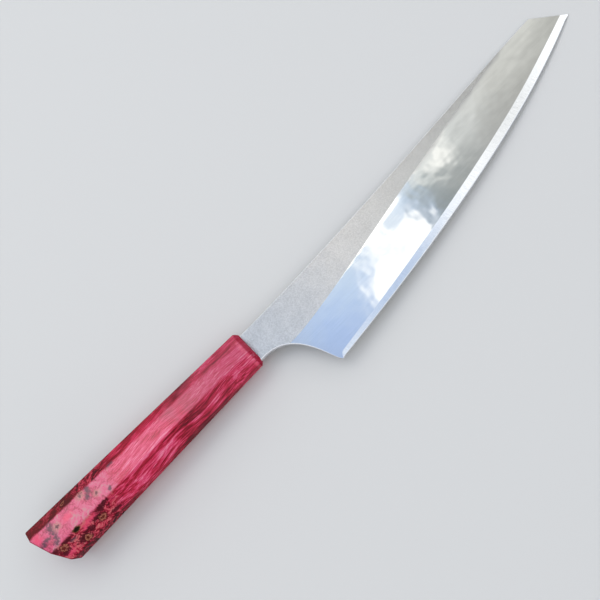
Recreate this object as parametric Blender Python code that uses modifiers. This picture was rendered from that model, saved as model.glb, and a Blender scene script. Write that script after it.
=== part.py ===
"""Chef knife with a clipped tip, a hidden tang and an eight-sided burl handle.

The knife lies on its side: +X runs from the butt to the tip, +Y from the
cutting edge to the spine, and +Z is square to the blade. All modelling happens
in the knife's own frame, whose zero is the middle of the handle's front face;
an empty at the end puts the middle of the finished footprint on the world's
zero. Every size below is a real one, in millimetres until it reaches a mesh.
"""

import math

import bmesh
import bpy
import numpy as np
from mathutils import Matrix, Vector

MM = 0.001

# ---------------------------------------------------------------- blade plan
NECK_LENGTH = 28.6          # handle face to heel, along X
HEEL_DROP = 37.5            # heel below the handle's axis
EDGE_LENGTH = 210.0         # straight line from heel to tip
TIP_RISE = 4.7              # tip above the handle's axis
EDGE_HEEL_ANGLE = 5.5       # the edge's rise at the heel, degrees
EDGE_TIP_ANGLE = 23.0       # and at the tip
EDGE_HEEL_PULL = 34.0       # how far each end angle holds along the curve
EDGE_TIP_PULL = 75.0

NECK_TOP = 7.7              # spine above the handle's axis, at the handle
NECK_BOTTOM = 9.1           # neck's underside below the axis
CLIP_LENGTH = 20.0          # straight clip from the spine's corner to the tip
CLIP_ANGLE = 44.0           # clip's fall from the X direction, degrees
SPINE_CORNER_ANGLE = 1.7
SPINE_NECK_PULL = 81.0
SPINE_CORNER_PULL = 45.0

CHOIL_STRAIGHT = 2.0        # flat stretch under the neck before the curve
CHOIL_NECK_PULL = 21.0
CHOIL_HEEL_ANGLE = 9.0      # the curve's fall where it meets the edge, degrees
CHOIL_HEEL_PULL = 4.0

# ------------------------------------------------------------- blade grinds
SPINE_THICKNESS = 3.2       # at the handle
CORNER_THICKNESS = 1.9      # at the clipped corner, after the distal taper
SPINE_ROUND = 0.5           # eased arris along the spine
CUT_EASE = 0.4              # eased arrises along the choil and the clip
GRIND_LINE_DROP = 14.3      # grind line below the axis, at the choil
GRIND_LINE_START = 16.9     # where it leaves the choil, from the handle face
GRIND_LINE_PULL = 21.0
GRIND_END_PULL = 120.0
GRIND_END_SETBACK = 22.5    # grind line meets the spine this far behind the corner
GRIND_END_ANGLE = 9.8
BEVEL_AT_HEEL = 2.6         # width of the cutting bevel at the heel
BEVEL_AT_TIP = 5.2          # and over its forward part
BEVEL_GROWTH = 126.0        # distance over which it widens
BEVEL_ANGLE = 5.5           # cutting bevel, degrees on each side

# --------------------------------------------------------------------- tang
STUB_DEPTH = 9.0            # neck's full section inside the handle
TANG_LENGTH = 95.0          # from the handle's face to the tang's end
TANG_ROOT_HEIGHT = 12.0
TANG_END_HEIGHT = 7.0
TANG_THICKNESS = 1.8

# ------------------------------------------------------------------- handle
HANDLE_LENGTH = 136.0       # along the axis
FRONT_HEIGHT = 21.0
FRONT_THICKNESS = 18.1
BUTT_HEIGHT = 27.0
BUTT_THICKNESS = 23.0
FRONT_CHAMFER = 6.9         # each of the octagon's slanting sides, along Y and Z
BUTT_CHAMFER = 7.5
BUTT_SLANT = 23.0           # butt cut, degrees from square; the spine side is longer
FRONT_ROUND = 1.9
BUTT_ROUND = 1.7
ARRIS_ROUND = 0.5

# --------------------------------------------------------------------- fits
SLOT_CLEARANCE = 0.3        # handle's mouth around the neck, on each side
BED_CLEARANCE = 0.25        # resin bed to tang and to mortise
MORTISE_SIDE_ROOM = 2.2     # mortise past the tang, above and below
MORTISE_END_ROOM = 7.0      # mortise past the tang's end

STATIONS = 40               # sections along the blade
CHOIL_POINTS = 22           # points along the choil's curve
OVERRUN = 3.0               # how far a cutter or a blank runs past its cut


# ------------------------------------------------------------------ helpers
def bezier(start, start_angle, start_pull, end, end_angle, end_pull, count=200):
    """Points along a cubic curve given by both ends, their angles and pulls."""
    a0, a1 = math.radians(start_angle), math.radians(end_angle)
    p0, p3 = np.array(start, float), np.array(end, float)
    p1 = p0 + start_pull * np.array([math.cos(a0), math.sin(a0)])
    p2 = p3 - end_pull * np.array([math.cos(a1), math.sin(a1)])
    t = np.linspace(0.0, 1.0, count)[:, None]
    return (1 - t) ** 3 * p0 + 3 * (1 - t) ** 2 * t * p1 + 3 * (1 - t) * t ** 2 * p2 + t ** 3 * p3


def height_on(curve, x):
    """Height of a curve at x, carried on straight past both its ends."""
    first, second, before, last = curve[0], curve[1], curve[-2], curve[-1]
    if x < first[0]:
        return first[1] + (x - first[0]) * (second[1] - first[1]) / (second[0] - first[0])
    if x > last[0]:
        return last[1] + (x - last[0]) * (last[1] - before[1]) / (last[0] - before[0])
    return float(np.interp(x, curve[:, 0], curve[:, 1]))


def collection(name, hidden=False):
    """A collection under the scene's own; cutters' collection stays out of renders."""
    made = bpy.data.collections.new(name)
    bpy.context.scene.collection.children.link(made)
    made.hide_render = hidden
    return made


def mesh_object(name, bm, home, size=MM):
    """Turn a bmesh in millimetres into an object in metres."""
    bmesh.ops.recalc_face_normals(bm, faces=bm.faces)
    bmesh.ops.scale(bm, vec=(size, size, size), verts=bm.verts)
    mesh = bpy.data.meshes.new(name)
    bm.to_mesh(mesh)
    bm.free()
    made = bpy.data.objects.new(name, mesh)
    home.objects.link(made)
    return made


def loft(sections):
    """A closed body through rings of equal count, capped at both ends."""
    bm = bmesh.new()
    rings = [[bm.verts.new(point) for point in ring] for ring in sections]
    count = len(rings[0])
    for near, far in zip(rings, rings[1:]):
        for i in range(count):
            j = (i + 1) % count
            bm.faces.new((near[i], near[j], far[j], far[i]))
    bm.faces.new(rings[0])
    bm.faces.new(rings[-1])
    bmesh.ops.remove_doubles(bm, verts=bm.verts, dist=1e-4)
    return bm


def tapered_bar(x0, y0, height0, x1, y1, height1, thickness):
    """A cube primitive drawn out to a bar whose height changes along X."""
    bm = bmesh.new()
    bmesh.ops.create_cube(bm, size=1.0)
    for vert in bm.verts:
        at_end = vert.co.x > 0
        x, y, height = (x1, y1, height1) if at_end else (x0, y0, height0)
        vert.co = Vector((x, y + vert.co.y * height, vert.co.z * thickness))
    return bm


def boolean(target, tool, operation):
    """Add an exact Boolean modifier; the tool stays in the cutters' collection."""
    tool.display_type = 'WIRE'
    modifier = target.modifiers.new(operation.title() + " " + tool.name, 'BOOLEAN')
    modifier.operation = operation
    modifier.solver = 'EXACT'
    modifier.object = tool


def distance_to(line, point):
    """Distance in the XY plane from a point to a chain of straight lines."""
    starts, ends = line[:-1], line[1:]
    along = ends - starts
    share = ((point - starts) * along).sum(axis=1) / (along ** 2).sum(axis=1)
    nearest = starts + np.clip(share, 0.0, 1.0)[:, None] * along
    return float(np.sqrt(((point - nearest) ** 2).sum(axis=1)).min())


def apply_modifiers(target):
    """Bake the modifiers, then join coplanar facets back into whole faces."""
    graph = bpy.context.evaluated_depsgraph_get()
    baked = bpy.data.meshes.new_from_object(target.evaluated_get(graph))
    target.modifiers.clear()
    target.data = baked
    bm = bmesh.new()
    bm.from_mesh(baked)
    bmesh.ops.remove_doubles(bm, verts=bm.verts, dist=1e-6)
    bmesh.ops.dissolve_limit(bm, angle_limit=math.radians(0.02), verts=bm.verts, edges=bm.edges)
    bm.to_mesh(baked)
    bm.free()


def material(name, colour, roughness, metallic, coat=0.0):
    """A plain Principled material."""
    made = bpy.data.materials.new(name)
    made.use_nodes = True
    shader = made.node_tree.nodes["Principled BSDF"]
    shader.inputs["Base Color"].default_value = (*colour, 1.0)
    shader.inputs["Roughness"].default_value = roughness
    shader.inputs["Metallic"].default_value = metallic
    shader.inputs["Coat Weight"].default_value = coat
    made.diffuse_color = (*colour, 1.0)
    return made


# -------------------------------------------------------------------- blade
def heel_point():
    return np.array([NECK_LENGTH, -HEEL_DROP])


def tip_point():
    run = math.sqrt(EDGE_LENGTH ** 2 - (HEEL_DROP + TIP_RISE) ** 2)
    return np.array([NECK_LENGTH + run, TIP_RISE])


def clip_corner():
    fall = math.radians(CLIP_ANGLE)
    return tip_point() + CLIP_LENGTH * np.array([-math.cos(fall), math.sin(fall)])


def edge_curve():
    return bezier(heel_point(), EDGE_HEEL_ANGLE, EDGE_HEEL_PULL,
                  tip_point(), EDGE_TIP_ANGLE, EDGE_TIP_PULL)


def spine_curve():
    return bezier((0.0, NECK_TOP), 0.0, SPINE_NECK_PULL,
                  clip_corner(), SPINE_CORNER_ANGLE, SPINE_CORNER_PULL)


def grind_line(spine):
    """The line between the blade's flat and its main bevel, choil to spine."""
    end_x = clip_corner()[0] - GRIND_END_SETBACK
    end = (end_x, height_on(spine, end_x) - SPINE_ROUND)
    return bezier((GRIND_LINE_START, -GRIND_LINE_DROP), 0.0, GRIND_LINE_PULL,
                  end, GRIND_END_ANGLE, GRIND_END_PULL)


def thickness_at(x):
    """Distal taper: even, so that each side's flat is one true plane."""
    return SPINE_THICKNESS + (CORNER_THICKNESS - SPINE_THICKNESS) * x / clip_corner()[0]


def bevel_width_at(x):
    """The cutting bevel widens from the heel, then keeps its width."""
    growth = min(max((x - NECK_LENGTH) / BEVEL_GROWTH, 0.0), 1.0)
    return BEVEL_AT_HEEL + (BEVEL_AT_TIP - BEVEL_AT_HEEL) * math.sin(growth * math.pi / 2)


def blade_section(x, spine, edge, grind):
    """One ring of the blank: eased spine, flat, main bevel, cutting bevel, edge."""
    top, sharp = height_on(spine, x), height_on(edge, x)
    half = thickness_at(x) / 2
    width = bevel_width_at(x)
    shoulder = sharp + width
    shoulder_half = width * math.tan(math.radians(BEVEL_ANGLE))
    line = min(height_on(grind, x), top - SPINE_ROUND)
    soft = SPINE_ROUND * (1 - math.sqrt(0.5))
    side = [(top, half - SPINE_ROUND), (top - soft, half - soft), (top - SPINE_ROUND, half),
            (line, half), (shoulder, shoulder_half)]
    ring = side + [(sharp, 0.0)] + [(y, -z) for y, z in reversed(side)]
    return [(x, y, z) for y, z in ring]


def choil_line():
    """The neck's straight underside, then one curve down to the heel."""
    curve = bezier((CHOIL_STRAIGHT, -NECK_BOTTOM), 0.0, CHOIL_NECK_PULL,
                   heel_point(), -CHOIL_HEEL_ANGLE, CHOIL_HEEL_PULL, count=CHOIL_POINTS)
    return np.vstack([(-STUB_DEPTH - OVERRUN, -NECK_BOTTOM), curve])


def choil_cutter(home):
    """Everything below the neck and behind the heel, as one flat outline."""
    line = choil_line()
    back, low = line[0][0], line[-1][1] - 2 * OVERRUN
    outline = [*map(tuple, line), (line[-1][0] - OVERRUN, low), (back, low)]
    deep = SPINE_THICKNESS
    bm = bmesh.new()
    face = bm.faces.new([bm.verts.new((x, y, -deep)) for x, y in outline])
    walls = bmesh.ops.extrude_face_region(bm, geom=[face])["geom"]
    moved = [item for item in walls if isinstance(item, bmesh.types.BMVert)]
    bmesh.ops.translate(bm, vec=(0, 0, 2 * deep), verts=moved)
    return mesh_object("choil_cutter", bm, home)


def clip_cutter(home):
    """A block whose one side lies on the straight clip, above the blade."""
    corner, tip = clip_corner(), tip_point()
    bm = bmesh.new()
    bmesh.ops.create_cube(bm, size=1.0)
    long, deep = 3 * CLIP_LENGTH, 2 * SPINE_THICKNESS
    bmesh.ops.scale(bm, vec=(long, CLIP_LENGTH, deep), verts=bm.verts)
    bmesh.ops.translate(bm, vec=(0, CLIP_LENGTH / 2, 0), verts=bm.verts)
    middle = (corner + tip) / 2
    turn = Matrix.Rotation(-math.radians(CLIP_ANGLE), 4, 'Z')
    bmesh.ops.transform(bm, matrix=Matrix.Translation((*middle, 0)) @ turn, verts=bm.verts)
    return mesh_object("clip_cutter", bm, home)


def ease_cuts(blade):
    """Soften the arrises that the choil and the clip leave on both sides."""
    lines = [choil_line() * MM, np.array([clip_corner(), tip_point()]) * MM]
    bm = bmesh.new()
    bm.from_mesh(blade.data)
    full = CUT_EASE * MM * 1.5

    def on_cut(vert):
        point = np.array(vert.co.xy)
        return abs(vert.co.z) > full and min(distance_to(line, point) for line in lines) < 1e-6

    arrises = [edge for edge in bm.edges if all(on_cut(vert) for vert in edge.verts)
               and edge.verts[0].co.z * edge.verts[1].co.z > 0]
    bmesh.ops.bevel(bm, geom=arrises, offset=CUT_EASE * MM, segments=2, profile=0.5,
                    affect='EDGES', clamp_overlap=True)
    bm.to_mesh(blade.data)
    bm.free()


def neck_middle():
    return (NECK_TOP - NECK_BOTTOM) / 2


def tang_bar(grow, back, front):
    """The tang's bar, grown on every side by a clearance, between two X places."""
    middle = neck_middle()
    slope = (TANG_ROOT_HEIGHT - TANG_END_HEIGHT) / (TANG_LENGTH - STUB_DEPTH)
    end_height = TANG_ROOT_HEIGHT + (back + STUB_DEPTH) * slope + 2 * grow
    root_height = TANG_ROOT_HEIGHT + (front + STUB_DEPTH) * slope + 2 * grow
    return tapered_bar(back, middle, end_height, front, middle, root_height,
                       TANG_THICKNESS + 2 * grow)


def make_blade(home, cutters):
    """Steel blade: ground blank, choil and clip cut out, hidden tang added."""
    spine, edge = spine_curve(), edge_curve()
    grind = grind_line(spine)
    last = tip_point()[0] + OVERRUN
    places = [-STUB_DEPTH, 0.0, *np.linspace(NECK_LENGTH / 2, last, STATIONS)]
    blade = mesh_object("blade", loft([blade_section(x, spine, edge, grind) for x in places]), home)
    boolean(blade, choil_cutter(cutters), 'DIFFERENCE')
    boolean(blade, clip_cutter(cutters), 'DIFFERENCE')
    apply_modifiers(blade)
    ease_cuts(blade)
    tang = mesh_object("tang", tang_bar(0.0, -TANG_LENGTH, NECK_LENGTH / 4), cutters)
    boolean(blade, tang, 'UNION')
    apply_modifiers(blade)
    blade.data.materials.clear()
    blade.data.materials.append(material("ground steel", (0.62, 0.64, 0.66), 0.24, 1.0))
    return blade


# ------------------------------------------------------------------- handle
def octagon(x_of_y, height, thickness, chamfer):
    """One eight-sided ring; x_of_y lets the ring lean, as the butt's does."""
    tall, wide = height / 2, thickness / 2
    corners = [(tall, wide - chamfer), (tall - chamfer, wide), (chamfer - tall, wide),
               (-tall, wide - chamfer), (-tall, chamfer - wide), (chamfer - tall, -wide),
               (tall - chamfer, -wide), (tall, chamfer - wide)]
    return [(x_of_y(y), y, z) for y, z in corners]


def butt_x(y):
    return -HANDLE_LENGTH - y * math.tan(math.radians(BUTT_SLANT))


def at_axis_length(x, front, butt):
    """A handle size at x, on the straight taper between its two ends."""
    return front + (butt - front) * (-x / HANDLE_LENGTH)


def handle_blank():
    """The tapered octagon, run past the butt and then cut at the butt's slant."""
    back = -HANDLE_LENGTH - BUTT_HEIGHT
    rings = []
    for x in (back, 0.0):
        sizes = [at_axis_length(x, front, butt) for front, butt in
                 ((FRONT_HEIGHT, BUTT_HEIGHT), (FRONT_THICKNESS, BUTT_THICKNESS),
                  (FRONT_CHAMFER, BUTT_CHAMFER))]
        rings.append(octagon(lambda y, x=x: x, *sizes))
    bm = loft(rings)
    slant = math.radians(BUTT_SLANT)
    cut = bmesh.ops.bisect_plane(bm, geom=bm.verts[:] + bm.edges[:] + bm.faces[:], dist=1e-6,
                                 plane_co=(butt_x(0.0), 0, 0),
                                 plane_no=(math.cos(slant), math.sin(slant), 0), clear_inner=True)
    rim = [item for item in cut["geom_cut"] if isinstance(item, bmesh.types.BMEdge)]
    bmesh.ops.edgeloop_fill(bm, edges=rim)
    bmesh.ops.recalc_face_normals(bm, faces=bm.faces)
    return bm


def round_rim(bm, on_rim, radius, segments):
    """Round the edges round one end face, picked by a test on their vertices."""
    rim = [edge for edge in bm.edges if all(on_rim(vert.co) for vert in edge.verts)]
    bmesh.ops.bevel(bm, geom=rim, offset=radius, segments=segments, profile=0.5,
                    affect='EDGES', clamp_overlap=True)


def make_handle(home, cutters):
    """One block of burl: tapered octagon, slanted butt, mouth and mortise."""
    bm = handle_blank()
    round_rim(bm, lambda p: abs(p.x) < 1e-3, FRONT_ROUND, 3)
    round_rim(bm, lambda p: abs(p.x - butt_x(p.y)) < 1e-3, BUTT_ROUND, 2)
    handle = mesh_object("handle_block", bm, home)
    soften = handle.modifiers.new("Soft arrises", 'BEVEL')
    soften.width = ARRIS_ROUND * MM
    soften.segments = 2
    soften.limit_method = 'ANGLE'
    soften.angle_limit = math.radians(40)

    middle = neck_middle()
    mouth_height = NECK_TOP + NECK_BOTTOM + 2 * SLOT_CLEARANCE
    slot = SPINE_THICKNESS + 2 * SLOT_CLEARANCE
    depth = STUB_DEPTH + SLOT_CLEARANCE
    mouth = tapered_bar(-depth, middle, mouth_height, OVERRUN, middle, mouth_height, slot)
    boolean(handle, mesh_object("mouth_cutter", mouth, cutters), 'DIFFERENCE')
    boolean(handle, mesh_object("mortise_cutter", mortise_bar(0.0, -OVERRUN), cutters), 'DIFFERENCE')
    apply_modifiers(handle)
    handle.data.materials.clear()
    handle.data.materials.append(material("dyed burl", (0.47, 0.03, 0.07), 0.25, 0.0, coat=0.6))
    return handle


def mortise_bar(shrink, front):
    """The mortise's bar, shrunk on every side by a clearance, ending at front."""
    side = MORTISE_SIDE_ROOM - shrink
    back = -TANG_LENGTH - MORTISE_END_ROOM + shrink
    bm = tang_bar(0.0, back, front)
    slot_half = SPINE_THICKNESS / 2 + SLOT_CLEARANCE - shrink
    for vert in bm.verts:
        vert.co.y += math.copysign(side, vert.co.y - neck_middle())
        vert.co.z = math.copysign(slot_half, vert.co.z)
    return bm


def make_bed(home, cutters):
    """Cured resin between the hidden tang and the mortise's walls."""
    front = -STUB_DEPTH - BED_CLEARANCE - SLOT_CLEARANCE
    bed = mesh_object("resin_bed", mortise_bar(BED_CLEARANCE, front), home)
    core = tang_bar(BED_CLEARANCE, -TANG_LENGTH - BED_CLEARANCE, 0.0)
    boolean(bed, mesh_object("tang_clearance", core, cutters), 'DIFFERENCE')
    apply_modifiers(bed)
    bed.data.materials.clear()
    bed.data.materials.append(material("cured resin", (0.09, 0.07, 0.05), 0.4, 0.0))
    return bed


# -------------------------------------------------------------------- build
def centre_on_footprint(pieces, home):
    """Hang the pieces on an empty so that the footprint's middle is at zero."""
    corners = np.array([vert.co for piece in pieces for vert in piece.data.vertices])
    low, high = corners.min(axis=0), corners.max(axis=0)
    root = bpy.data.objects.new("knife_frame", None)
    home.objects.link(root)
    root.location = (-(low[0] + high[0]) / 2, -(low[1] + high[1]) / 2, -low[2])
    for piece in pieces:
        piece.parent = root
    return root


def main():
    for old in list(bpy.data.objects):
        bpy.data.objects.remove(old, do_unlink=True)
    home = collection("chef knife")
    cutters = collection("cutters", hidden=True)
    pieces = [make_blade(home, cutters), make_handle(home, cutters), make_bed(home, cutters)]
    root = centre_on_footprint(pieces, home)
    bpy.context.view_layer.update()
    for piece in pieces:
        tris = sum(len(polygon.vertices) - 2 for polygon in piece.data.polygons)
        print(f"{piece.name}: {tris} triangles")
    print("frame shift in mm:", [round(value / MM, 2) for value in root.location])


main()
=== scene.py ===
# %% [markdown]
# # A chef knife: ground steel and dyed burl
#
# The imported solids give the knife's true sizes. This lesson dresses them: a blade whose
# three grinds each have their own polish, and an eight-sided handle of red-dyed burl under
# a clear gloss. Both are surfaces worked out with numpy from the solids' own sizes, with
# finer steps and slightly softer rims, and every finish is a node material. Lengths are in
# millimetres in the knife's own frame, whose zero is the middle of the handle's front face;
# they turn to metres in one place.

# %% Load the frame and measure it
import math

import bmesh
import bpy
import numpy as np
from mathutils import Euler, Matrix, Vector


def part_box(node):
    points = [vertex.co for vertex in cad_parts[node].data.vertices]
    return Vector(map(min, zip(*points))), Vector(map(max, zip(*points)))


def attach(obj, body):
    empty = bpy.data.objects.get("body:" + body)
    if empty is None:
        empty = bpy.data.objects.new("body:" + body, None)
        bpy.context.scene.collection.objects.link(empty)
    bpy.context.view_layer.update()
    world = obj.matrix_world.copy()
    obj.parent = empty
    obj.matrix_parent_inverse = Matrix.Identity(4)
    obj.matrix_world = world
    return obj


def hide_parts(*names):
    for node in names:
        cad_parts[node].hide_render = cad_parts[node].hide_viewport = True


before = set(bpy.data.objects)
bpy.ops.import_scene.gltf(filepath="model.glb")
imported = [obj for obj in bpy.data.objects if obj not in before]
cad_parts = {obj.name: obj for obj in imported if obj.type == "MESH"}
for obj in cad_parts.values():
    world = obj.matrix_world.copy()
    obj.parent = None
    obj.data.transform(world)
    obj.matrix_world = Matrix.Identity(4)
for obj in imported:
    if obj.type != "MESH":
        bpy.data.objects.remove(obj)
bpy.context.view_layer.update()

MM = 0.001
HEEL_DROP = 37.5
blade_low = np.array(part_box("blade")[0], float) / MM
handle_low, handle_high = (np.array(corner, float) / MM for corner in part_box("handle_block"))
ZERO = np.array([handle_high[0], blade_low[1] + HEEL_DROP, (handle_low[2] + handle_high[2]) / 2])
print("knife's zero in the frame, mm:", ZERO.round(2))

# %% [markdown]
# ## Lines of the blade
#
# A bladesmith draws a knife as a few fair curves: edge, spine, choil and grind line. Each is
# one cubic curve given by its two ends, the angles there, and how strongly each end pulls.
# The outlines and the grind line use the numbers that the solids were made from.

# %% Curves
NECK_LENGTH = 28.6
EDGE_LENGTH = 210.0
TIP_RISE = 4.7
NECK_TOP = 7.7
NECK_BOTTOM = 9.1
CLIP_LENGTH = 20.0
CLIP_FALL = math.radians(44.0)
CHOIL_STRAIGHT = 2.0
GRIND_START = (16.9, -14.3)
GRIND_SETBACK = 22.5
SPINE_GAP = 0.5             # the grind line stays this far under the spine
# Each curve's two ends as (angle in degrees, pull in mm).
EDGE_ENDS = ((5.5, 34.0), (23.0, 75.0))
SPINE_ENDS = ((0.0, 81.0), (1.7, 45.0))
CHOIL_ENDS = ((0.0, 21.0), (-9.0, 4.0))
GRIND_ENDS = ((0.0, 21.0), (9.8, 120.0))


def fair_curve(start, start_angle, start_pull, end, end_angle, end_pull, count=600):
    """Cubic Bezier curve: each handle leaves its end at the given angle, pull long."""
    a0, a1 = math.radians(start_angle), math.radians(end_angle)
    p0, p3 = np.array(start, float), np.array(end, float)
    p1 = p0 + start_pull * np.array([math.cos(a0), math.sin(a0)])
    p2 = p3 - end_pull * np.array([math.cos(a1), math.sin(a1)])
    t = np.linspace(0.0, 1.0, count)[:, None]
    return (1 - t) ** 3 * p0 + 3 * (1 - t) ** 2 * t * p1 + 3 * (1 - t) * t ** 2 * p2 + t ** 3 * p3


def height_on(curve, x):
    """Height of a curve at every x, carried on straight past both its ends."""
    first = (curve[1, 1] - curve[0, 1]) / (curve[1, 0] - curve[0, 0])
    last = (curve[-1, 1] - curve[-2, 1]) / (curve[-1, 0] - curve[-2, 0])
    inside = np.interp(x, curve[:, 0], curve[:, 1])
    before = np.minimum(x - curve[0, 0], 0.0) * first
    after = np.maximum(x - curve[-1, 0], 0.0) * last
    return inside + before + after


heel = np.array([NECK_LENGTH, -HEEL_DROP])
tip = np.array([NECK_LENGTH + math.sqrt(EDGE_LENGTH ** 2 - (HEEL_DROP + TIP_RISE) ** 2), TIP_RISE])
corner = tip + CLIP_LENGTH * np.array([-math.cos(CLIP_FALL), math.sin(CLIP_FALL)])
edge_line = fair_curve(heel, *EDGE_ENDS[0], tip, *EDGE_ENDS[1])
spine_line = fair_curve((0.0, NECK_TOP), *SPINE_ENDS[0], corner, *SPINE_ENDS[1])
choil_line = fair_curve((CHOIL_STRAIGHT, -NECK_BOTTOM), *CHOIL_ENDS[0], heel, *CHOIL_ENDS[1])
grind_end_x = corner[0] - GRIND_SETBACK
grind_end = (grind_end_x, float(height_on(spine_line, np.array(grind_end_x))) - SPINE_GAP)
grind_line = fair_curve(GRIND_START, *GRIND_ENDS[0], grind_end, *GRIND_ENDS[1])
print("heel", heel, "tip", tip.round(1), "corner", corner.round(1))

# %% [markdown]
# ## Thickness of the blade
#
# Seen from above, a ground blade is a height map: at every place, half its thickness is set
# by how far that place lies above the edge. Up to the shoulder it climbs at the cutting
# bevel's angle, from there to the grind line along the main bevel, and above that it stays
# level, except for the even taper from the handle to the tip. Two touches go beyond the
# solid: the cutting bevel narrows towards the tip, and its shoulder rounds in at the heel.

# %% Half thickness as a function of place
SPINE_THICKNESS = 3.2
CORNER_THICKNESS = 1.9
BEVEL_SLOPE = math.tan(math.radians(5.5))
BEVEL_AT_HEEL = 2.6
BEVEL_AT_TIP = 5.2
BEVEL_GROWTH = 126.0
BEVEL_TIP_LOSS = 1.3        # how much it has narrowed at the tip
NARROWS_FROM = 200.0
BEVEL_START = 0.6           # the cutting bevel's shoulder rounds in behind the heel


def full_width(x):
    """Quarter sine growth along the edge, less a square that narrows it at the tip."""
    along = np.clip((x - NECK_LENGTH) / BEVEL_GROWTH, 0.0, 1.0)
    grown = BEVEL_AT_HEEL + (BEVEL_AT_TIP - BEVEL_AT_HEEL) * np.sin(along * math.pi / 2)
    return grown - BEVEL_TIP_LOSS * np.clip((x - NARROWS_FROM) / (tip[0] - NARROWS_FROM), 0.0, 1.0) ** 2


def shoulder_height(x):
    """The line between cutting and main bevel; it leaves the heel exponentially."""
    started = 1.0 - np.exp(-np.maximum(x - NECK_LENGTH, 0.0) / BEVEL_START)
    return height_on(edge_line, x) + full_width(x) * started


def main_bevel(x, y):
    """Straight from the full width's shoulder to the grind line, and on past both."""
    flat = (SPINE_THICKNESS + (CORNER_THICKNESS - SPINE_THICKNESS) * x / corner[0]) / 2
    foot = height_on(edge_line, x) + full_width(x)
    line = np.minimum(height_on(grind_line, x), height_on(spine_line, x) - SPINE_GAP)
    thin = full_width(x) * BEVEL_SLOPE
    return thin + (flat - thin) * np.minimum((y - foot) / (line - foot), 1.0)


def half_thickness(x, y):
    """The main bevel above the shoulder; below it a straight slope down to the edge."""
    sharp, shoulder = height_on(edge_line, x), shoulder_height(x)
    rise = np.clip((y - sharp) / np.maximum(shoulder - sharp, 1e-6), 0.0, 1.0)
    return np.where(y < shoulder, main_bevel(x, shoulder) * rise, main_bevel(x, y))


by_the_heel = half_thickness(np.array(30.0), np.array(-13.0))
print("half thickness at the heel's grind line:", by_the_heel.round(2))

# %% [markdown]
# ## From grid to mesh
#
# Every piece here is a grid of points: rows run along the piece and columns go round it, so
# the quads follow by counting. The first and last rows are closed with one face each, and
# points that fall together, as they do along the edge, are merged. Where two neighbouring
# faces have different finishes the edge between them is marked sharp, which keeps a ground
# line crisp.

# %% Mesh helper
MERGE = 2e-7                # points closer than this, in metres, become one
SLIVER = 1e-7


def run_along(line):
    """Distance along a polyline to each of its points: summed lengths of its steps."""
    steps = np.sqrt((np.diff(line, axis=0) ** 2).sum(axis=1))
    return np.concatenate([[0.0], np.cumsum(steps)])


def resample(line, places):
    """Points at the given shares of a polyline's length."""
    run = run_along(line)
    wanted = np.asarray(places) * run[-1]
    return np.stack([np.interp(wanted, run, line[:, axis]) for axis in range(2)], axis=1)


def inset(line, depth):
    """Move a polyline to its left by depth, with mitred corners."""
    ahead = np.diff(line, axis=0)
    ahead /= np.sqrt((ahead ** 2).sum(axis=1))[:, None]
    left = np.stack([-ahead[:, 1], ahead[:, 0]], axis=1)
    before, after = np.vstack([left[:1], left]), np.vstack([left, left[-1:]])
    middle = before + after
    middle /= np.sqrt((middle ** 2).sum(axis=1))[:, None]
    reach = 1.0 / np.clip((middle * after).sum(axis=1), 0.3, 1.0)
    return line + middle * (depth * reach)[:, None]


def grid_piece(name, points, zones, materials):
    """Closed mesh from rows x columns x 3 points in mm; zones names a material per face."""
    rows, columns = points.shape[:2]
    ids = np.arange(rows * columns).reshape(rows, columns)
    right = np.roll(ids, -1, axis=1)
    quads = np.stack([ids[:-1], ids[1:], right[1:], right[:-1]], axis=-1).reshape(-1, 4)
    faces = quads.tolist() + [ids[0].tolist(), ids[-1, ::-1].tolist()]
    mesh = bpy.data.meshes.new(name)
    mesh.from_pydata(((points + ZERO) * MM).reshape(-1, 3).tolist(), [], faces)
    face_zones = np.concatenate([np.asarray(zones).reshape(-1), [zones[0, 0], zones[-1, 0]]])
    mesh.polygons.foreach_set("material_index", face_zones.astype(np.int32))
    bm = bmesh.new()
    bm.from_mesh(mesh)
    bmesh.ops.remove_doubles(bm, verts=bm.verts, dist=MERGE)
    bmesh.ops.dissolve_degenerate(bm, dist=SLIVER, edges=bm.edges)
    bmesh.ops.recalc_face_normals(bm, faces=bm.faces)
    bm.to_mesh(mesh)
    bm.free()
    for material in materials:
        mesh.materials.append(material)
    crisp_zones(mesh)
    piece = bpy.data.objects.new(name, mesh)
    bpy.context.scene.collection.objects.link(piece)
    print(name, len(mesh.polygons), "faces")
    return piece


def crisp_zones(mesh):
    """Smooth faces all over, but a sharp edge wherever the finish changes."""
    count = len(mesh.polygons)
    sides, zone = np.empty(count, np.int32), np.empty(count, np.int32)
    mesh.polygons.foreach_get("loop_total", sides)
    mesh.polygons.foreach_get("material_index", zone)
    loop_edge = np.empty(len(mesh.loops), np.int32)
    mesh.loops.foreach_get("edge_index", loop_edge)
    loop_zone = np.repeat(zone, sides)
    least = np.full(len(mesh.edges), 99, np.int32)
    most = np.full(len(mesh.edges), -1, np.int32)
    np.minimum.at(least, loop_edge, loop_zone)
    np.maximum.at(most, loop_edge, loop_zone)
    mesh.polygons.foreach_set("use_smooth", np.ones(count, bool))
    sharp = mesh.attributes.get("sharp_edge") or mesh.attributes.new("sharp_edge", 'BOOLEAN', 'EDGE')
    sharp.data.foreach_set("value", least != most)


# %% [markdown]
# ## Shader maths as Python
#
# A node material reads best when its sums look like sums. `Wire` wraps a socket and turns
# Python's operators into Math nodes; `Nodes.make` adds any other node.

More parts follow.
